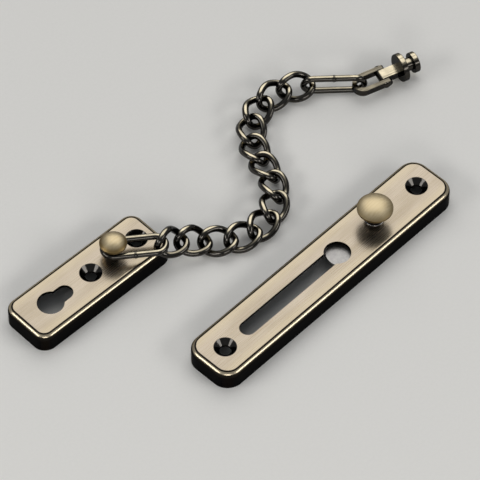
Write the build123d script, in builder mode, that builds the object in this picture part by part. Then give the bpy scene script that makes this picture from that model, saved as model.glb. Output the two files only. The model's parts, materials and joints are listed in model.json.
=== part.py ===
from build123d import *
from math import asin, cos, degrees, pi, radians, sin, sqrt, tan
import os

os.makedirs("parts", exist_ok=True)

# Driving dimensions, in millimetres and degrees.
# The origin is at the middle of the slide plate's back, with +X along the plate and +Z out of it.

# Pressed plates
plate_width = 22.0
plate_height = 8.0
sheet = 1.2
edge_round = 2.25
slide_length = 120.0
slide_corner = 6.5
keeper_length = 63.0
keeper_corner = 5.0
keeper_x = -61.0
keeper_y = 57.4
keeper_turn = -2.3

# Countersunk screw holes, formed down out of the sheet
screw_hole = 4.4
screw_sink = 8.2
screw_land = 0.9
slide_screw_spacing = 100.0
keeper_near_screw = 1.3
keeper_far_screw = 23.6

# Openings for the spool pin
slot_width = 6.2
slot_end_x = -38.5
entry_x = 7.9
entry_diameter = 10.0
keyhole_x = -18.0
keyhole_diameter = 10.0
keyhole_lobe = 6.4
keyhole_offset = 6.6

# Push latch on the slide plate
knob_x = 27.5
knob_diameter = 13.2
knob_rim = 0.8
knob_dome = 2.0
knob_lift = 7.4
stem_diameter = 4.6
stem_fit = 0.08
stem_spigot = 3.0
stem_foot_diameter = 5.4
stem_foot = 0.8
tongue_drop = 1.2
tongue_thickness = 1.0
tongue_tip_radius = 5.6
tongue_tip_x = 4.4
tongue_body_length = 15.0
tongue_side_gap = 0.5
spring_wire = 0.9
spring_diameter = 7.7
spring_turns = 3
spring_end_gap = 0.1
rivet_fit = 0.1

# Stud on the keeper plate
stud_x = 12.4
stud_head = 10.0
stud_rim = 0.8
stud_dome = 1.9
stud_lift = 7.0
stud_neck = 4.4
stud_spigot = 3.2
stud_foot_diameter = 6.0
stud_foot = 0.9

# Plain oblong links at the two ends of the chain
oblong_wire = 2.4
oblong_length = 25.0
oblong_width = 9.8
stud_link_heading = -39.0
stud_link_lift = 4.0
end_link_heading = -44.0
end_link_roll = 95.0

# Twisted curb links
curb_wire = 2.5
curb_length = 15.3
curb_width = 11.8
curb_twist = -45.0
curb_play = 0.9
link_gap = 0.3

# How the chain lies, from the stud to the fork: a heading and a roll for each curb link
curb_headings = [-12, -33, -43, -20, 5, 30, 55, 72, 63, 42, 17, -9, -34]
curb_rolls = [45, 33, 27, 24, 22, 20, 18, 14, 9, 8, 18, 32, 45]
first_slope_angle = -24.0
rest_gap = 0.1

# Fork, its rivet and the spool pin
strap_thickness = 1.6
strap_height = 3.2
fork_gap = 4.8
fork_seat = 1.8
fork_heading = -18.0
fork_roll = 5.0
fork_rivet_x = 8.2
fork_tip = 2.4
rivet_shank = 2.2
rivet_head = 3.6
rivet_head_height = 0.9
pin_fit = 0.06
lug_fit = 0.4
lug_height = 3.6
lug_drop = 1.1
collar_start = 6.8
collar_diameter = 11.0
collar_thickness = 2.2
neck_diameter = 5.0
neck_length = 3.2
disc_diameter = 8.0
disc_thickness = 2.2
turned_edge = 0.35

# Levels that follow from the sizes above
under_sheet = plate_height - sheet
tongue_top = under_sheet - tongue_drop
sink_depth = (screw_sink - screw_hole) / 2
spring_length = knob_lift - 2 * spring_end_gap
keeper_way = Vector(1, 0, 0).rotate(Axis.Z, keeper_turn)
keeper_plane = Plane(origin=(keeper_x, keeper_y, 0), x_dir=keeper_way)


def finish(part, name):
    """Labels one finished piece and writes its file."""
    part.label = name
    export_step(part, f"parts/{name}.step")


def laid(middle, heading, slope=0, roll=0):
    """The plane of a piece with a heading, a slope upwards and a roll about its length."""
    return Plane(Location(middle, (roll, -slope, heading), Extrinsic.XYZ))


def pressed_pan(length, corner, screw_places):
    """A plate drawn from sheet, open below, with rolled edges and countersunk dimples for screws."""
    with BuildPart() as pan:
        with BuildSketch():
            RectangleRounded(length, plate_width, corner)
        extrude(amount=plate_height)
        fillet(pan.faces().sort_by(Axis.Z)[-1].edges(), edge_round)
        offset(amount=-sheet, openings=pan.faces().sort_by(Axis.Z)[0])
        wall = sheet * tan(radians(22.5))
        for x in screw_places:
            with BuildSketch(Plane.XZ.shift_origin((x, 0, 0))):
                with BuildLine():
                    Polyline(
                        (0, plate_height),
                        (screw_sink / 2 + sheet, plate_height),
                        (screw_sink / 2 + sheet + wall, under_sheet),
                        (screw_hole / 2 + sheet, plate_height - sink_depth - wall),
                        (screw_hole / 2 + sheet, plate_height - sink_depth - screw_land),
                        (0, plate_height - sink_depth - screw_land),
                        close=True,
                    )
                make_face()
            revolve(axis=Axis((x, 0, 0), (0, 0, 1)))
            with BuildSketch(Plane.XZ.shift_origin((x, 0, 0))):
                with BuildLine():
                    Polyline(
                        (0, plate_height),
                        (screw_sink / 2, plate_height),
                        (screw_hole / 2, plate_height - sink_depth),
                        (screw_hole / 2, 0),
                        (0, 0),
                        close=True,
                    )
                make_face()
            revolve(axis=Axis((x, 0, 0), (0, 0, 1)), mode=Mode.SUBTRACT)
    return pan.part


def mushroom(head, rim, dome, lift, neck, spigot, shoulder_level, grip, foot_diameter, foot):
    """A turned stud with a domed head, on the Z axis: neck, shoulder, spigot and riveted foot."""
    head_level = plate_height + lift
    radius = ((head / 2) ** 2 + dome**2) / (2 * dome)
    half = asin(head / 2 / radius) / 2
    crown = head_level + rim + dome
    with BuildPart() as stud:
        with BuildSketch(Plane.XZ):
            with BuildLine():
                Polyline(
                    (0, crown),
                    (0, shoulder_level - grip - foot),
                    (foot_diameter / 2 - foot / 2, shoulder_level - grip - foot),
                    (foot_diameter / 2, shoulder_level - grip - foot / 2),
                    (foot_diameter / 2, shoulder_level - grip),
                    (spigot / 2, shoulder_level - grip),
                    (spigot / 2, shoulder_level),
                    (neck / 2, shoulder_level),
                    (neck / 2, head_level),
                    (head / 2, head_level),
                    (head / 2, head_level + rim),
                )
                ThreePointArc(
                    (head / 2, head_level + rim),
                    (radius * sin(half), crown - radius * (1 - cos(half))),
                    (0, crown),
                )
            make_face()
        revolve(axis=Axis.Z)
    return stud.part


def bent_wire(stations, wire):
    """Round wire through stations, each a point and a direction, with two tangent arcs between them."""
    with BuildPart() as bent:
        for (point, way), (next_point, next_way) in zip(stations, stations[1:]):
            span = next_point - point
            both = span.dot(way + next_way)
            spread = 1 - way.dot(next_way)
            reach = (sqrt(both**2 + 2 * spread * span.dot(span)) - both) / (2 * spread)
            first_knee = point + way * reach
            second_knee = next_point - next_way * reach
            middle = (first_knee + second_knee) / 2
            middle_way = (second_knee - first_knee).normalized()
            for start, heading, end in ((point, way, middle), (middle, middle_way, next_point)):
                chord = end - start
                inward = chord - heading * chord.dot(heading)
                radius = chord.length**2 / (2 * inward.length)
                centre = start + inward.normalized() * radius
                turn = 2 * degrees(asin(chord.length / 2 / radius))
                with BuildSketch(Plane(origin=start, z_dir=heading)):
                    Circle(wire / 2)
                revolve(axis=Axis(centre, heading.cross(inward)), revolution_arc=turn)
    return bent.part


# Slide plate: a long pan with a slot that opens into a round entry, and a guide hole for the knob's stem
slide_pan = pressed_pan(slide_length, slide_corner, (-slide_screw_spacing / 2, slide_screw_spacing / 2))
with BuildPart() as slide_plate:
    add(slide_pan)
    with BuildSketch(Plane.XY.offset(plate_height)):
        with Locations(((slot_end_x + entry_x) / 2, 0)):
            SlotCenterToCenter(entry_x - slot_end_x, slot_width)
        with Locations((entry_x, 0)):
            Circle(entry_diameter / 2)
        with Locations((knob_x, 0)):
            Circle(stem_diameter / 2 + stem_fit)
    extrude(amount=-plate_height, mode=Mode.SUBTRACT)
finish(slide_plate.part, "slide_plate")

# Latch knob: pressed down against its spring, it lowers the tongue clear of the entry
knob_turning = mushroom(knob_diameter, knob_rim, knob_dome, knob_lift, stem_diameter, stem_spigot,
                        tongue_top, tongue_thickness + rivet_fit, stem_foot_diameter, stem_foot)
with BuildPart() as latch_knob:
    with Locations((knob_x, 0, 0)):
        add(knob_turning)
finish(latch_knob.part, "latch_knob")

# Latch tongue: a steel blank guided by the pan's side walls, with a round tip that closes the entry
tongue_width = plate_width - 2 * sheet - 2 * tongue_side_gap
with BuildPart() as latch_tongue:
    with BuildSketch(Plane.XY.offset(tongue_top)):
        with Locations((knob_x, 0)):
            RectangleRounded(tongue_body_length, tongue_width, edge_round)
        with Locations(((knob_x + tongue_tip_x + tongue_tip_radius) / 2, 0)):
            SlotCenterToCenter(knob_x - tongue_tip_x - tongue_tip_radius, 2 * tongue_tip_radius)
        with Locations((knob_x, 0)):
            Circle(stem_spigot / 2 + rivet_fit, mode=Mode.SUBTRACT)
    extrude(amount=-tongue_thickness)
finish(latch_tongue.part, "latch_tongue")

# Latch spring: a coil round the stem, between the plate and the knob's head
coil_radius = (spring_diameter - spring_wire) / 2
coil_rise = spring_length - spring_wire
coil_slope = coil_rise / (2 * pi * coil_radius * spring_turns)
quarter_turns = 4 * spring_turns
coil_stations = []
for quarter in range(quarter_turns + 1):
    angle = radians(90 * quarter)
    height = plate_height + spring_end_gap + spring_wire / 2 + coil_rise * quarter / quarter_turns
    place = Vector(knob_x + coil_radius * cos(angle), coil_radius * sin(angle), height)
    coil_stations.append((place, Vector(-sin(angle), cos(angle), coil_slope).normalized()))
latch_spring = bent_wire(coil_stations, spring_wire)
finish(latch_spring, "latch_spring")

# Keeper plate: a short pan with a keyhole, and a hole for the stud's spigot
keeper_pan = pressed_pan(keeper_length, keeper_corner, (keeper_near_screw, keeper_far_screw))
with BuildPart() as keeper_plate:
    with Locations(keeper_plane.location):
        add(keeper_pan)
    with BuildSketch(keeper_plane.offset(plate_height)):
        with Locations((keyhole_x, 0)):
            Circle(keyhole_diameter / 2)
        with Locations((keyhole_x + keyhole_offset / 2, 0)):
            SlotCenterToCenter(keyhole_offset, keyhole_lobe)
        with Locations((stud_x, 0)):
            Circle(stud_spigot / 2 + rivet_fit)
    extrude(amount=-plate_height, mode=Mode.SUBTRACT)
finish(keeper_plate.part, "keeper_plate")

# Keeper stud: a mushroom rivet that the first link turns on
stud_turning = mushroom(stud_head, stud_rim, stud_dome, stud_lift, stud_neck, stud_spigot,
                        plate_height, sheet + rivet_fit, stud_foot_diameter, stud_foot)
stud_place = keeper_plane.from_local_coords(Vector(stud_x, 0, 0))
with BuildPart() as keeper_stud:
    with Locations((stud_place.X, stud_place.Y, 0)):
        add(stud_turning)
finish(keeper_stud.part, "keeper_stud")


# Oblong link: round wire bent to an oblong and butt welded
oblong_reach = (oblong_length - oblong_wire) / 2
oblong_side = (oblong_width - oblong_wire) / 2
oblong_run = oblong_length - oblong_width
with BuildPart() as oblong_link:
    with BuildLine():
        far_side = Line((-oblong_run / 2, oblong_side), (oblong_run / 2, oblong_side))
        near_side = Line((oblong_run / 2, -oblong_side), (-oblong_run / 2, -oblong_side))
        TangentArc(far_side @ 1, near_side @ 0, tangent=(1, 0))
        TangentArc(near_side @ 1, far_side @ 0, tangent=(-1, 0))
    with BuildSketch(Plane(origin=far_side @ 0, z_dir=far_side % 0)):
        Circle(oblong_wire / 2)
    sweep()

# Stud link: hooked over the stud's neck, lying above the keeper plate
oblong_inside = oblong_length / 2 - oblong_wire
stud_link_way = Vector(1, 0, 0).rotate(Axis.Z, stud_link_heading)
stud_link_middle = stud_place + stud_link_way * (oblong_inside - stud_neck / 2 - link_gap)
stud_link_middle.Z = plate_height + stud_link_lift
with BuildPart() as stud_link:
    with Locations(laid(stud_link_middle, stud_link_heading).location):
        add(oblong_link.part)
finish(stud_link.part, "stud_link")

# Curb links: each is twisted so that its two ends stand at right angles and the next one lies in line with it
curb_reach = (curb_length - curb_wire) / 2
curb_side = (curb_width - curb_wire) / 2
end_tilt = radians(curb_twist)
side_rise = curb_side * end_tilt / curb_reach
curb_stations = [
    (Vector(curb_reach, 0, 0), Vector(0, cos(end_tilt), sin(end_tilt))),
    (Vector(0, curb_side, 0), Vector(-1, 0, -side_rise).normalized()),
    (Vector(-curb_reach, 0, 0), Vector(0, -cos(end_tilt), sin(end_tilt))),
    (Vector(0, -curb_side, 0), Vector(1, 0, -side_rise).normalized()),
]
curb_link = bent_wire(curb_stations + curb_stations[:1], curb_wire)
curb_hold = curb_reach - (curb_wire + curb_play) / 2
oblong_hold = oblong_reach - (oblong_wire + curb_wire) / 4 - curb_play / 2

# The first two curb links come down from the keeper plate, and the rest lie on the floor
rest_levels = [rest_gap - curb_link.rotate(Axis.X, roll).bounding_box().min.Z for roll in curb_rolls]
joint_levels = [max(pair) for pair in zip(rest_levels, rest_levels[1:])] + rest_levels[-1:]
joint_levels[0] = stud_link_middle.Z + 2 * curb_hold * sin(radians(first_slope_angle))
joint_points = [stud_link_middle + stud_link_way * oblong_hold]
for number, (heading, roll, level) in enumerate(zip(curb_headings, curb_rolls, joint_levels), start=1):
    slope = degrees(asin((level - joint_points[-1].Z) / (2 * curb_hold)))
    curb_way = Vector(1, 0, 0).rotate(Axis.Y, -slope).rotate(Axis.Z, heading)
    curb_middle = joint_points[-1] + curb_way * curb_hold
    with BuildPart() as chain_link:
        with Locations(laid(curb_middle, heading, slope, roll).location):
            add(curb_link)
    finish(chain_link.part, f"chain_link_{number:02d}")
    joint_points.append(curb_middle + curb_way * curb_hold)

# End link: a second oblong link, which stands on its side wire
end_link_way = Vector(1, 0, 0).rotate(Axis.Z, end_link_heading)
end_link_middle = joint_points[-1] + end_link_way * oblong_hold
end_link_middle.Z = oblong_width / 2 + rest_gap
with BuildPart() as end_link:
    with Locations(laid(end_link_middle, end_link_heading, 0, end_link_roll).location):
        add(oblong_link.part)
finish(end_link.part, "end_link")

# Fork: a strap bent to a U round the end link's wire, with round tips drilled for the rivet
fork_way = Vector(1, 0, 0).rotate(Axis.Z, fork_heading)
fork_bend = fork_gap / 2 + strap_thickness / 2
fork_hang = end_link_middle + end_link_way * oblong_reach
fork_middle = fork_hang + fork_way * (fork_gap / 2 - oblong_wire / 2 - fork_seat)
fork_middle.Z = collar_diameter / 2 + rest_gap - lug_drop
fork_plane = laid(fork_middle, fork_heading, 0, fork_roll)
fork_end = fork_rivet_x + fork_tip
with BuildPart() as fork_blank:
    with BuildSketch():
        with BuildLine():
            arm = Line((fork_end, fork_bend), (0, fork_bend))
            bend = TangentArc(arm @ 1, (0, -fork_bend), tangent=(-1, 0))
            Line(bend @ 1, (fork_end, -fork_bend))
        trace(line_width=strap_thickness)
    extrude(amount=strap_height / 2, both=True)
    tips = fork_blank.faces().sort_by(Axis.X)[-2:].edges().filter_by(Axis.Y)
    fillet(tips, strap_height / 2 - turned_edge)
    with BuildSketch(Plane.XZ):
        with Locations((fork_rivet_x, 0)):
            Circle(rivet_shank / 2 + rivet_fit)
    extrude(amount=fork_gap, both=True, mode=Mode.SUBTRACT)
with BuildPart() as fork:
    with Locations(fork_plane.location):
        add(fork_blank.part)
finish(fork.part, "fork")

# Fork rivet: a plain shank between two low domed heads
fork_outside = fork_gap / 2 + strap_thickness
rivet_end = fork_outside + rivet_head_height
head_radius = ((rivet_head / 2) ** 2 + rivet_head_height**2) / (2 * rivet_head_height)
head_middle = asin(rivet_head / 2 / head_radius) / 2
with BuildPart() as rivet_turning:
    with BuildSketch(Plane.XY):
        with BuildLine():
            Polyline(
                (0, rivet_end),
                (0, 0),
                (rivet_shank / 2, 0),
                (rivet_shank / 2, fork_outside),
                (rivet_head / 2, fork_outside),
            )
            ThreePointArc(
                (rivet_head / 2, fork_outside),
                (head_radius * sin(head_middle), rivet_end - head_radius * (1 - cos(head_middle))),
                (0, rivet_end),
            )
        make_face()
    revolve(axis=Axis.Y)
    mirror(about=Plane.XZ)
with BuildPart() as fork_rivet:
    with Locations(fork_plane.location * Location((fork_rivet_x, 0, 0))):
        add(rivet_turning.part)
finish(fork_rivet.part, "fork_rivet")

# Spool pin: a turned collar, neck and end disc, with a flat lug that swings on the rivet
collar_end = collar_start + collar_thickness
neck_end = collar_end + neck_length
disc_end = neck_end + disc_thickness
lug_width = fork_gap - 2 * lug_fit
with BuildPart() as pin_turning:
    with BuildSketch(Plane.XY.offset(lug_drop)):
        with BuildLine():
            Polyline(
                (collar_start, 0),
                (collar_start, collar_diameter / 2),
                (collar_end, collar_diameter / 2),
                (collar_end, neck_diameter / 2),
                (neck_end, neck_diameter / 2),
                (neck_end, disc_diameter / 2),
                (disc_end, disc_diameter / 2),
                (disc_end, 0),
                close=True,
            )
        make_face()
    revolve(axis=Axis((0, 0, lug_drop), (1, 0, 0)))
    rims = pin_turning.edges().filter_by(GeomType.CIRCLE).group_by(SortBy.RADIUS)[1:]
    fillet(rims, turned_edge)
    with BuildSketch(Plane.XZ):
        with BuildLine():
            Line((collar_start + turned_edge, lug_height / 2), (0, lug_height / 2))
            TangentArc((0, lug_height / 2), (0, -lug_height / 2), tangent=(-1, 0))
            Polyline(
                (0, -lug_height / 2),
                (collar_start + turned_edge, -lug_height / 2),
                (collar_start + turned_edge, lug_height / 2),
            )
        make_face()
    extrude(amount=lug_width / 2, both=True)
    with BuildSketch(Plane.XZ):
        Circle(rivet_shank / 2 + pin_fit)
    extrude(amount=lug_width, both=True, mode=Mode.SUBTRACT)
with BuildPart() as spool_pin:
    with Locations(fork_plane.location * Location((fork_rivet_x, 0, 0))):
        add(pin_turning.part)
finish(spool_pin.part, "spool_pin")
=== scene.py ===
import bmesh
import bpy
import json
from math import asin, atan2, cos, exp, pi, radians, sin, sqrt
from mathutils import Matrix, Vector


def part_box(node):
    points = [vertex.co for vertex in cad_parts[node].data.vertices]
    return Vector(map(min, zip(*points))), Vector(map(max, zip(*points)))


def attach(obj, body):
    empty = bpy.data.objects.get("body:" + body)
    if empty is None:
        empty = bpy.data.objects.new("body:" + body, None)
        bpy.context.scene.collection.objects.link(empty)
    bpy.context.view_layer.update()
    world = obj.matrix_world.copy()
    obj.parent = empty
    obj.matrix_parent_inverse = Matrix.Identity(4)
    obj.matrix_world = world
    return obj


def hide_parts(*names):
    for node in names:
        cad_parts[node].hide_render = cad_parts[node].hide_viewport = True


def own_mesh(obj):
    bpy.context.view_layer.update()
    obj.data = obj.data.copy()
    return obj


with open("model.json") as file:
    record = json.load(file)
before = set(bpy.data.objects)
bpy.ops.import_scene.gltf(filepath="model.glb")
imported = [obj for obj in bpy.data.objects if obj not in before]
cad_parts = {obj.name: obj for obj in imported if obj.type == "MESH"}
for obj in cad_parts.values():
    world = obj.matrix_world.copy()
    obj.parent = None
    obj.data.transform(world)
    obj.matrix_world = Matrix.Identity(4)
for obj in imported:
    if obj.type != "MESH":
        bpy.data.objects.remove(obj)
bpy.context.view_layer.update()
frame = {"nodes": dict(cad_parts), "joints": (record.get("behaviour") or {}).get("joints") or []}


# Slide plate: a long pan drawn from brass sheet and screwed to the door.
# Its flat top is brushed along its length and its rolled edge is buffed. A dark line between them is painted
# shade, the sides are dark as antique lacquer and painted shade, and the screw dimples hold dark antique
# lacquer.
class Shade:
    """A socket of a shader tree: expressions on it add Math nodes, and make() adds any other node."""

    def __init__(self, tree, socket=None):
        self.tree = tree
        self.socket = socket

    def make(self, kind, settings=None, sockets=None, out=0):
        node = self.tree.nodes.new(kind)
        for name, value in (settings or {}).items():
            setattr(node, name, value)
        for name, value in (sockets or {}).items():
            if isinstance(value, Shade):
                self.tree.links.new(value.socket, node.inputs[name])
            else:
                node.inputs[name].default_value = value
        return Shade(self.tree, node.outputs[out] if node.outputs else None)

    def maths(self, operation, first, second):
        return self.make("ShaderNodeMath", {"operation": operation}, {0: first, 1: second})

    def __add__(self, other):
        return self.maths("ADD", self, other)

    def __sub__(self, other):
        return self.maths("SUBTRACT", self, other)

    def __rsub__(self, other):
        return self.maths("SUBTRACT", other, self)

    def __mul__(self, other):
        return self.maths("MULTIPLY", self, other)

    __radd__ = __add__
    __rmul__ = __mul__

    def __abs__(self):
        return self.make("ShaderNodeMath", {"operation": "ABSOLUTE"}, {0: self})

    def ease(self, low, high):
        """0 below low, 1 above high, and a smooth step between them."""
        return self.make("ShaderNodeMapRange", {"interpolation_type": "SMOOTHSTEP"},
                         {"Value": self, "From Min": low, "From Max": high})

    def mix(self, first, second):
        """Goes from the first colour to the second as this value goes from 0 to 1."""
        return self.make("ShaderNodeMix", {"data_type": "RGBA"}, {0: self, 6: first, 7: second}, out=2)

    def part(self, axis):
        """One of the three numbers of a vector."""
        return self.make("ShaderNodeSeparateXYZ", None, {"Vector": self}, out=axis)

    def noise(self, stretch, detail):
        """Noise over a vector in millimetres, with this many waves per millimetre along each axis."""
        vector = self.make("ShaderNodeVectorMath", {"operation": "MULTIPLY"}, {0: self, 1: stretch})
        return self.make("ShaderNodeTexNoise", None, {"Vector": vector, "Scale": 1.0, "Detail": detail})

    def relief(self, strength):
        """A normal that follows this value as fine scratches a tenth of a millimetre deep."""
        return self.make("ShaderNodeBump", None, {"Strength": strength, "Distance": 0.0001, "Height": self})


def new_finish(name):
    """An empty material, and the handle that adds nodes to it."""
    material = bpy.data.materials.new(name)
    material.use_nodes = True
    material.node_tree.nodes.clear()
    return material, Shade(material.node_tree)


def cover(shade, sockets):
    """Ends a material in a principled shader with these sockets."""
    surface = shade.make("ShaderNodeBsdfPrincipled", None, sockets)
    shade.make("ShaderNodeOutputMaterial", None, {"Surface": surface})


def in_millimetres(shade, middle=(0, 0, 0), turn=0.0):
    """Places on a piece in millimetres, from a middle and along a heading."""
    return shade.make("ShaderNodeMapping", {"vector_type": "TEXTURE"}, {
        "Vector": shade.make("ShaderNodeTexCoord", out="Object"),
        "Location": middle,
        "Rotation": (0, 0, turn),
        "Scale": (0.001, 0.001, 0.001),
    })


def upward(shade):
    """How far a face looks up: 1 on a level top, 0 on a side and -1 on an underside."""
    return shade.make("ShaderNodeTexCoord", out="Normal").part("Z")


def dress(piece, material):
    """Gives a piece one material."""
    piece.data.materials.clear()
    piece.data.materials.append(material)


# Dark lacquer that also stands for painted shade: in the line between a plate's brushed top and buffed edge,
# on the plates' sides and under the knob's head.
lacquer_and_painted_shade = (0.012, 0.010, 0.008, 1)
brass_pale = (0.52, 0.45, 0.365, 1)
brass_deep = (0.36, 0.30, 0.215, 1)
brass_edge = (0.55, 0.47, 0.33, 1)
brass_buffed = (0.54, 0.465, 0.335, 1)
dull_glance = (0.20, 0.18, 0.15, 1)
flat_top = 0.985, 0.993
roll_starts = 0.48, 0.72
roll_ends_shade_line_starts = 0.89, 0.92
warm_strip = 5.0, 9.0
dimple_radius = 4.1
dimple_fade = 0.2
slide_middle = (0, 0, 0)
slide_screws = -50.0, 50.0


def off_dimple(along, across):
    """0 in a screw dimple and 1 outside it."""
    return (along * along + across * across).ease(dimple_radius**2, (dimple_radius + dimple_fade)**2)


def brushed_brass(name, middle, turn, screws):
    """Brass brushed along a plate, with a painted shade line inside its buffed edge, dark lacquer and painted
    shade on its sides, and dark lacquer in the dimples of its two screws.
    """
    material, shade = new_finish(name)
    place = in_millimetres(shade, middle, turn)
    along, across = place.part("X"), place.part("Y")
    hair = place.noise((0.045, 2.4, 1.0), 3.0)
    cloud = place.noise((0.05, 0.16, 1.0), 2.0)
    level = upward(shade)
    sheet = off_dimple(along - screws[0], across) * off_dimple(along - screws[1], across)
    top = sheet * level.ease(*flat_top)
    # Between the buffed edge and the brushed top the lacquer colour is left as a painted shade line.
    rolled = sheet * level.ease(*roll_starts) * (1 - level.ease(*roll_ends_shade_line_starts))
    brass = 0.2 + hair.ease(0.28, 0.72) * 0.35 + cloud.ease(0.3, 0.7) * 0.45
    brushed = brass.mix(brass_deep, brass_pale)
    flat_colour = (abs(across).ease(*warm_strip) * 0.6).mix(brushed, brass_edge)
    cover(shade, {
        "Base Color": rolled.mix(top.mix(lacquer_and_painted_shade, flat_colour), brass_buffed),
        "Metallic": 1.0,
        "Roughness": 0.15 + top * (0.08 + hair * 0.10) + rolled * 0.14,
        "Specular Tint": dull_glance,
        "Coat Weight": 0.75 - sheet * 0.65,
        "Coat Roughness": 0.08,
        "Normal": hair.relief(0.05),
    })
    return material


nodes = frame["nodes"]
dress(nodes["slide_plate"], brushed_brass("brushed_brass_slide", slide_middle, 0.0, slide_screws))


# Latch tongue: a blank stamped from bright steel and riveted to the foot of the knob's stem.
# It lies below the slide plate, and its round tip closes the entry hole until the knob is pressed.
steel_pale = (0.44, 0.43, 0.42, 1)
steel_deep = (0.34, 0.33, 0.33, 1)


def bright_steel(name):
    """Rolled steel, a little cloudy."""
    material, shade = new_finish(name)
    cloud = in_millimetres(shade).noise((0.7, 0.7, 0.7), 4.0)
    cover(shade, {
        "Base Color": cloud.ease(0.3, 0.7).mix(steel_deep, steel_pale),
        "Metallic": 1.0,
        "Roughness": 0.28 + cloud * 0.14,
        "Normal": cloud.relief(0.05),
    })
    return material


dress(nodes["latch_tongue"], bright_steel("bright_steel"))


# Latch knob: a turned brass mushroom with its stem through the slide plate.
# Its crown is bright brass darkened to the rim by painted shade, and its neck and underside are black as
# lacquer and painted shade.
crown_pale = (0.70, 0.59, 0.39, 1)
crown_deep = (0.54, 0.42, 0.23, 1)
crown_rim_painted_shade = (0.20, 0.14, 0.06, 1)
rim_shade_to_crown = 0.79, 0.95
head_underside = 15.0
head_fade = 0.05


def brass_with_painted_rim_shade(name):
    """Turned brass, brushed and bright on the crown, with painted shade darkening it to the rim, and black
    lacquer and painted shade under the head and on the neck.
    """
    material, shade = new_finish(name)
    place = in_millimetres(shade)
    hair = place.noise((0.14, 2.2, 1.0), 3.0)
    level = upward(shade)
    above_neck = place.part("Z").ease(head_underside - head_fade, head_underside + head_fade)
    # Under the head and on the neck the colour is black lacquer and painted shade; towards the rim the crown
    # is darkened by painted shade.
    head = level.ease(-0.3, -0.05) * above_neck
    crown = (0.4 + hair.ease(0.25, 0.75) * 0.5).mix(crown_deep, crown_pale)
    cover(shade, {
        "Base Color": head.mix(lacquer_and_painted_shade, level.ease(*rim_shade_to_crown).mix(crown_rim_painted_shade, crown)),
        "Metallic": 1.0,
        "Roughness": 0.17 + head * (0.16 + hair * 0.12),
        "Coat Weight": 0.35 - head * 0.3,
        "Normal": hair.relief(0.03),
    })
    return material


knob_brass = brass_with_painted_rim_shade("brass_with_painted_rim_shade")
dress(nodes["latch_knob"], knob_brass)


# Latch spring: a coil of blued spring steel round the knob's stem.
# It stands between the plate and the knob's head. The spring shortens as the knob is pressed; this coil is
# built at one length.
spring_blued = (0.10, 0.10, 0.11, 1)
spring_bright = (0.22, 0.21, 0.20, 1)
spring_wire = 0.00045
spring_turns = 3
spring_steps = 32
spring_sides = 14


def spring_steel(name):
    """Drawn wire, blued dark and glossy."""
    material, shade = new_finish(name)
    drawn = in_millimetres(shade).noise((2.0, 2.0, 2.0), 3.0)
    cover(shade, {
        "Base Color": drawn.ease(0.3, 0.7).mix(spring_blued, spring_bright),
        "Metallic": 1.0,
        "Roughness": 0.16 + drawn * 0.10,
    })
    return material


def wire_mesh(name, path, radius, around, closed):
    """Round wire along a path, with a radius for each step and a number of sides around it.

    The attribute outer_side is 1 on the outer side of a loop and -1 inside it, and
    weld_bead says how far the wire swells.
    """
    count = len(path)
    if closed:
        ways = [(path[(i + 1) % count] - path[i - 1]).normalized() for i in range(count)]
    else:
        ways = [(path[min(i + 1, count - 1)] - path[max(i - 1, 0)]).normalized() for i in range(count)]
    sides = [ways[0].orthogonal().normalized()]
    for before, after in zip(ways, ways[1:]):
        sides.append(before.rotation_difference(after) @ sides[-1])
    spare = 0.0
    if closed:
        last = ways[-1].rotation_difference(ways[0]) @ sides[-1]
        spare = atan2(last.cross(sides[0]).dot(ways[0]), last.dot(sides[0]))
    middle = sum(path, Vector()) / count
    mesh = bmesh.new()
    outer = mesh.verts.layers.float.new("outer_side")
    bead = mesh.verts.layers.float.new("weld_bead")
    thinnest = min(radius(i) for i in range(count))
    rings = []
    for i, (point, way, side) in enumerate(zip(path, ways, sides)):
        across = way.cross(side)
        outward = (point - middle) - way * (point - middle).dot(way)
        outward.normalize()
        ring = []
        for k in range(around):
            angle = 2 * pi * k / around + spare * i / count
            facing = side * cos(angle) + across * sin(angle)
            vertex = mesh.verts.new(point + facing * radius(i))
            vertex[outer] = facing.dot(outward)
            vertex[bead] = radius(i) / thinnest - 1
            ring.append(vertex)
        rings.append(ring)
    for ring, after in zip(rings, rings[1:] + rings[:1] if closed else rings[1:]):
        for k in range(around):
            mesh.faces.new((ring[k], ring[(k + 1) % around], after[(k + 1) % around], after[k]))
    if not closed:
        mesh.faces.new(rings[0][::-1])
        mesh.faces.new(rings[-1])
    for face in mesh.faces:
        face.smooth = len(face.verts) == 4
    bmesh.ops.recalc_face_normals(mesh, faces=mesh.faces)
    data = bpy.data.meshes.new(name)
    mesh.to_mesh(data)
    mesh.free()
    return data


def place_piece(name, data, material, body, node):
    """A new piece that stands for a node of the frame and moves with its body."""
    piece = bpy.data.objects.new(name, data)
    bpy.context.scene.collection.objects.link(piece)
    dress(piece, material)
    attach(piece, body)
    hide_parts(node)
    return piece


spring_low, spring_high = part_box("latch_spring")
coil_radius = (spring_high.x - spring_low.x) / 2 - spring_wire
coil_middle = (spring_low + spring_high) / 2
coil_start = spring_low.z + spring_wire
coil_rise = spring_high.z - spring_low.z - 2 * spring_wire
coil = []
for step in range(spring_turns * spring_steps + 1):
    angle = 2 * pi * step / spring_steps
    height = coil_start + coil_rise * step / (spring_turns * spring_steps)
    coil.append(Vector((coil_middle.x + coil_radius * cos(angle),
                        coil_middle.y + coil_radius * sin(angle), height)))
coil_data = wire_mesh("latch_coil", coil, lambda step: spring_wire, spring_sides, False)
spring = place_piece("latch_coil", coil_data, spring_steel("spring_steel"), "plates", "latch_spring")
press = next(joint for joint in frame["joints"] if joint["name"] == "latch_press")
pressed_share = 1 - press["range_m"][1] / (spring_high.z - spring_low.z)
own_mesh(spring)


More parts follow.
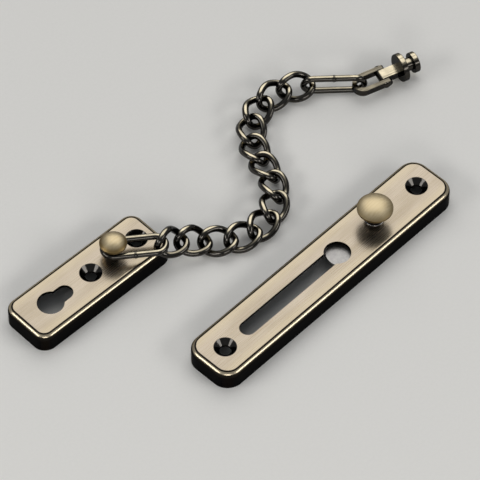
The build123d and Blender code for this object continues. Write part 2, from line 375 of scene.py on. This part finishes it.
# Keeper plate: the short brass pan on the door frame, with a keyhole that parks the pin.
# It is drawn and brushed like the slide plate, and lies turned a little.
keeper_middle = (-0.0610, 0.0574, 0)
keeper_turn = radians(-2.3)
keeper_screws = 1.3, 23.6
dress(nodes["keeper_plate"], brushed_brass("brushed_brass_keeper", keeper_middle, keeper_turn, keeper_screws))


# Keeper stud: a turned brass mushroom, riveted through the keeper plate.
# The chain's first link hangs on its neck. It has the knob's finish.
# Like the knob, it carries painted shade at its rim, under its head and on its neck.
dress(nodes["keeper_stud"], knob_brass)


# Stud link: an oblong of round wire, butt welded at the middle of one side and hooked over the stud.
# All the chain is dark bronze, with brass on the faces that look up or down, partly wear and partly a painted
# highlight.
oblong_wire = 0.0012
oblong_reach = 0.0113
oblong_side = 0.0037
steps_on_side = 24
steps_round = 28
link_sides = 20
weld_swell = 0.16
weld_steps = 1.5
bronze_dark = (0.030, 0.026, 0.021, 1)
bronze_rubbed_and_highlight = (0.80, 0.71, 0.52, 1)


def highlit_rubbed_bronze(name):
    """Dark bronze with brass on the upper and lower faces of a wire, partly wear and partly a painted
    highlight, strongest on its outer side and least on its inner side.
    """
    material, shade = new_finish(name)
    cloud = in_millimetres(shade).noise((0.22, 0.22, 0.22), 2.0)
    outer = shade.make("ShaderNodeAttribute", {"attribute_name": "outer_side"}, None, out="Fac")
    bead = shade.make("ShaderNodeAttribute", {"attribute_name": "weld_bead"}, None, out="Fac")
    # Brass on faces that look up or down is partly wear and partly a painted highlight.
    flat_rub_and_highlight = abs(upward(shade)).ease(0.86, 0.97) * (0.5 + outer.ease(-0.6, 0.2) * 0.4)
    worn_and_highlight = flat_rub_and_highlight * (0.7 + cloud.ease(0.35, 0.65) * 0.3)
    worn_and_highlight = worn_and_highlight * (1 - bead.ease(0.2 * weld_swell, 0.7 * weld_swell) * 0.8)
    cover(shade, {
        "Base Color": worn_and_highlight.mix(bronze_dark, bronze_rubbed_and_highlight),
        "Metallic": 1.0,
        "Roughness": 0.10 + worn_and_highlight * 0.10 + cloud * 0.04,
        "Specular Tint": dull_glance,
        "Coat Weight": 0.65 - worn_and_highlight * 0.55,
        "Coat Roughness": 0.06,
    })
    return material


def laid(middle, way, roll):
    """The place of a piece that points along a way and is rolled about its length."""
    heading = Matrix.Rotation(atan2(way.y, way.x), 4, "Z")
    slope = Matrix.Rotation(-asin(way.z), 4, "Y")
    return Matrix.Translation(middle) @ heading @ slope @ Matrix.Rotation(roll, 4, "X")


def put(data, place):
    """A copy of a mesh, moved to its place."""
    copy = data.copy()
    copy.transform(place)
    return copy


def oblong_path():
    """The middle line of an oblong link, once round from the weld in the middle of one side."""
    run = oblong_reach - oblong_side
    half = [Vector((run * step / steps_on_side, oblong_side, 0)) for step in range(steps_on_side)]
    for step in range(steps_round):
        angle = pi / 2 - pi * step / steps_round
        half.append(Vector((run + oblong_side * cos(angle), oblong_side * sin(angle), 0)))
    half += [Vector((run * (1 - step / steps_on_side), -oblong_side, 0)) for step in range(steps_on_side)]
    return half + [-point for point in half]


def welded_wire(step):
    """The wire's radius, with a low bead where its ends are welded."""
    from_weld = min(step, 4 * steps_on_side + 2 * steps_round - step) / weld_steps
    return oblong_wire * (1 + weld_swell * exp(-from_weld**2))


dark_bronze = highlit_rubbed_bronze("highlit_rubbed_bronze")
oblong_data = wire_mesh("oblong_link", oblong_path(), welded_wire, link_sides, True)
pivots = {joint["child"]: Vector(joint.get("pos_m", (0, 0, 0))) for joint in frame["joints"]}
stud_low, stud_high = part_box("stud_link")
stud_way = (pivots["stud_link"] - pivots["chain_link_01"]).normalized()
stud_data = put(oblong_data, laid((stud_low + stud_high) / 2, stud_way, 0.0))
place_piece("stud_link_wire", stud_data, dark_bronze, "stud_link", "stud_link")


# Curb links: short links of round bronze wire, each twisted so that the chain lies flat.
# Every link hooks through the one before it with a little play, and lies rolled
# a little more or less than it.
curb_wire = 0.00125
curb_reach = 0.0064
curb_side = 0.00465
curb_twist = radians(-45)
curb_rolls = [45, 33, 27, 24, 22, 20, 18, 14, 9, 8, 18, 32, 45]
arc_steps = 12


def bent_path(stations, steps):
    """Points along pairs of tangent arcs that join stations, each a point and a direction."""
    path = []
    for (point, way), (next_point, next_way) in zip(stations, stations[1:] + stations[:1]):
        span = next_point - point
        both = span.dot(way + next_way)
        spread = 1 - way.dot(next_way)
        reach = (sqrt(both**2 + 2 * spread * span.dot(span)) - both) / (2 * spread)
        knees = point + way * reach, next_point - next_way * reach
        middle = (knees[0] + knees[1]) / 2
        middle_way = (knees[1] - knees[0]).normalized()
        for start, heading, end in ((point, way, middle), (middle, middle_way, next_point)):
            chord = end - start
            inward = chord - heading * chord.dot(heading)
            radius = chord.length_squared / (2 * inward.length)
            inward.normalize()
            turn = 2 * asin(chord.length / 2 / radius)
            for step in range(steps):
                angle = turn * step / steps
                path.append(start + heading * radius * sin(angle) + inward * radius * (1 - cos(angle)))
    return path


side_rise = curb_side * curb_twist / curb_reach
curb_stations = [
    (Vector((curb_reach, 0, 0)), Vector((0, cos(curb_twist), sin(curb_twist)))),
    (Vector((0, curb_side, 0)), Vector((-1, 0, -side_rise)).normalized()),
    (Vector((-curb_reach, 0, 0)), Vector((0, -cos(curb_twist), sin(curb_twist)))),
    (Vector((0, -curb_side, 0)), Vector((1, 0, -side_rise)).normalized()),
]
curb_path = bent_path(curb_stations, arc_steps)
curb_data = wire_mesh("curb_link", curb_path, lambda step: curb_wire, link_sides, True)
curb_names = [f"chain_link_{number:02d}" for number in range(1, len(curb_rolls) + 1)]
hooks = [pivots[name] for name in curb_names + ["end_link"]]
for name, hook, next_hook, roll in zip(curb_names, hooks, hooks[1:], curb_rolls):
    link_way = (next_hook - hook).normalized()
    link_data = put(curb_data, laid((hook + next_hook) / 2, link_way, radians(roll)))
    place_piece(f"{name}_wire", link_data, dark_bronze, name, name)


# End link: a second oblong link of the same welded wire.
# It stands on its side wire, hooked through the last curb link, and carries the fork.
end_roll = radians(95)
end_low, end_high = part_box("end_link")
end_middle = (end_low + end_high) / 2
end_way = pivots["fork"] - end_middle
end_way.z = 0
end_data = put(oblong_data, laid(end_middle, end_way.normalized(), end_roll))
place_piece("end_link_wire", end_data, dark_bronze, "end_link", "end_link")


# Fork, rivet and spool pin: a bronze strap bent round the end link, and a turned pin
# that swings on a rivet between the strap's arms. The pin's disc goes into the slide plate's
# entry hole and its neck runs along the slot. Their faces that look up or down carry brass,
# partly wear and partly a painted highlight, more on the pin than on the strap.
fork_heading = radians(-18)
strap_wear_and_highlight = 0.3
pin_wear_and_highlight = 1.0


def turned_bronze(name, wear_and_highlight_share):
    """Dark bronze, drawn along the fork, with brass on faces that look up or down, partly wear and partly a
    painted highlight, in a share given by the second argument.
    """
    material, shade = new_finish(name)
    place = in_millimetres(shade, turn=fork_heading)
    cloud = place.noise((0.3, 0.3, 0.3), 2.0)
    drawn = place.noise((0.1, 1.6, 0.5), 3.0)
    # Brass on faces that look up or down is partly wear and partly a painted highlight.
    worn_and_highlight = abs(upward(shade)).ease(0.82, 0.97) * (0.65 + cloud.ease(0.3, 0.7) * 0.35)
    worn_and_highlight = worn_and_highlight * (1 - drawn.ease(0.50, 0.60) * 0.4) * wear_and_highlight_share
    cover(shade, {
        "Base Color": worn_and_highlight.mix(bronze_dark, bronze_rubbed_and_highlight),
        "Metallic": 1.0,
        "Roughness": 0.14 + worn_and_highlight * (0.06 + drawn * 0.08) + cloud * 0.04,
        "Specular Tint": dull_glance,
        "Coat Weight": 0.4 - worn_and_highlight * 0.35,
        "Normal": drawn.relief(0.05),
    })
    return material


fork_bronze = turned_bronze("fork_bronze", strap_wear_and_highlight)
dress(nodes["fork"], fork_bronze)
dress(nodes["fork_rivet"], fork_bronze)
dress(nodes["spool_pin"], turned_bronze("pin_bronze", pin_wear_and_highlight))


# Floor, light and camera: a pale paper floor under soft studio light.
# The camera looks from the photograph's angle through a long lens.
paper_grey = (0.83, 0.83, 0.82, 1)
paper_white = (0.87, 0.87, 0.86, 1)
floor_half = 1.5
floor_data = bpy.data.meshes.new("floor")
floor_data.from_pydata([(-floor_half, -floor_half, 0), (floor_half, -floor_half, 0),
                        (floor_half, floor_half, 0), (-floor_half, floor_half, 0)], [], [(0, 1, 2, 3)])
floor = bpy.data.objects.new("floor", floor_data)
bpy.context.scene.collection.objects.link(floor)
floor_paper, shade = new_finish("pale_paper")
grain = in_millimetres(shade).noise((0.9, 0.9, 0.9), 3.0)
cover(shade, {"Base Color": grain.mix(paper_grey, paper_white), "Roughness": 0.8})
dress(floor, floor_paper)

room_colour = (0.96, 0.98, 1.0, 1)
room_light = 0.19
room_mirrored = 0.1
world = bpy.data.worlds.new("studio")
world.use_nodes = True
world.node_tree.nodes.clear()
shade = Shade(world.node_tree)
room_strength = room_light + shade.make("ShaderNodeLightPath", out="Is Glossy Ray") * room_mirrored
room = shade.make("ShaderNodeBackground", None, {"Color": room_colour, "Strength": room_strength})
shade.make("ShaderNodeOutputWorld", None, {"Surface": room})
bpy.context.scene.world = world

lamp_colour = (1.0, 0.98, 0.94)
lamp_aim = Vector((0, 0.03, 0))


def softbox(name, place, size, power):
    """An area lamp that faces the object."""
    lamp = bpy.data.lights.new(name, "AREA")
    lamp.shape = "RECTANGLE"
    lamp.size, lamp.size_y = size
    lamp.energy = power
    lamp.color = lamp_colour
    box = bpy.data.objects.new(name, lamp)
    bpy.context.scene.collection.objects.link(box)
    box.location = place
    box.rotation_euler = (lamp_aim - Vector(place)).to_track_quat("-Z", "Y").to_euler()


softbox("top_panel", (0.548, 0.527, 0.99), (1.4, 1.4), 6.5)
softbox("right_box", (0.316, -0.806, 0.50), (0.60, 0.20), 2.3)
softbox("left_box", (-0.792, 0.348, 0.50), (0.60, 0.20), 2.3)
softbox("front_box", (-0.660, -0.635, 0.40), (0.50, 0.20), 1.9)

camera = bpy.data.cameras.new("camera")
camera.lens = 300.0
camera.sensor_width = 36.0
camera_place = Vector((-0.6431, -0.5769, 1.1479))
camera_aim = Vector((-0.0122, 0.0291, 0.008))
viewer = bpy.data.objects.new("camera", camera)
bpy.context.scene.collection.objects.link(viewer)
viewer.location = camera_place
viewer.rotation_euler = (camera_aim - camera_place).to_track_quat("-Z", "Y").to_euler()
bpy.context.scene.camera = viewer
bpy.context.scene.view_settings.view_transform = "Standard"
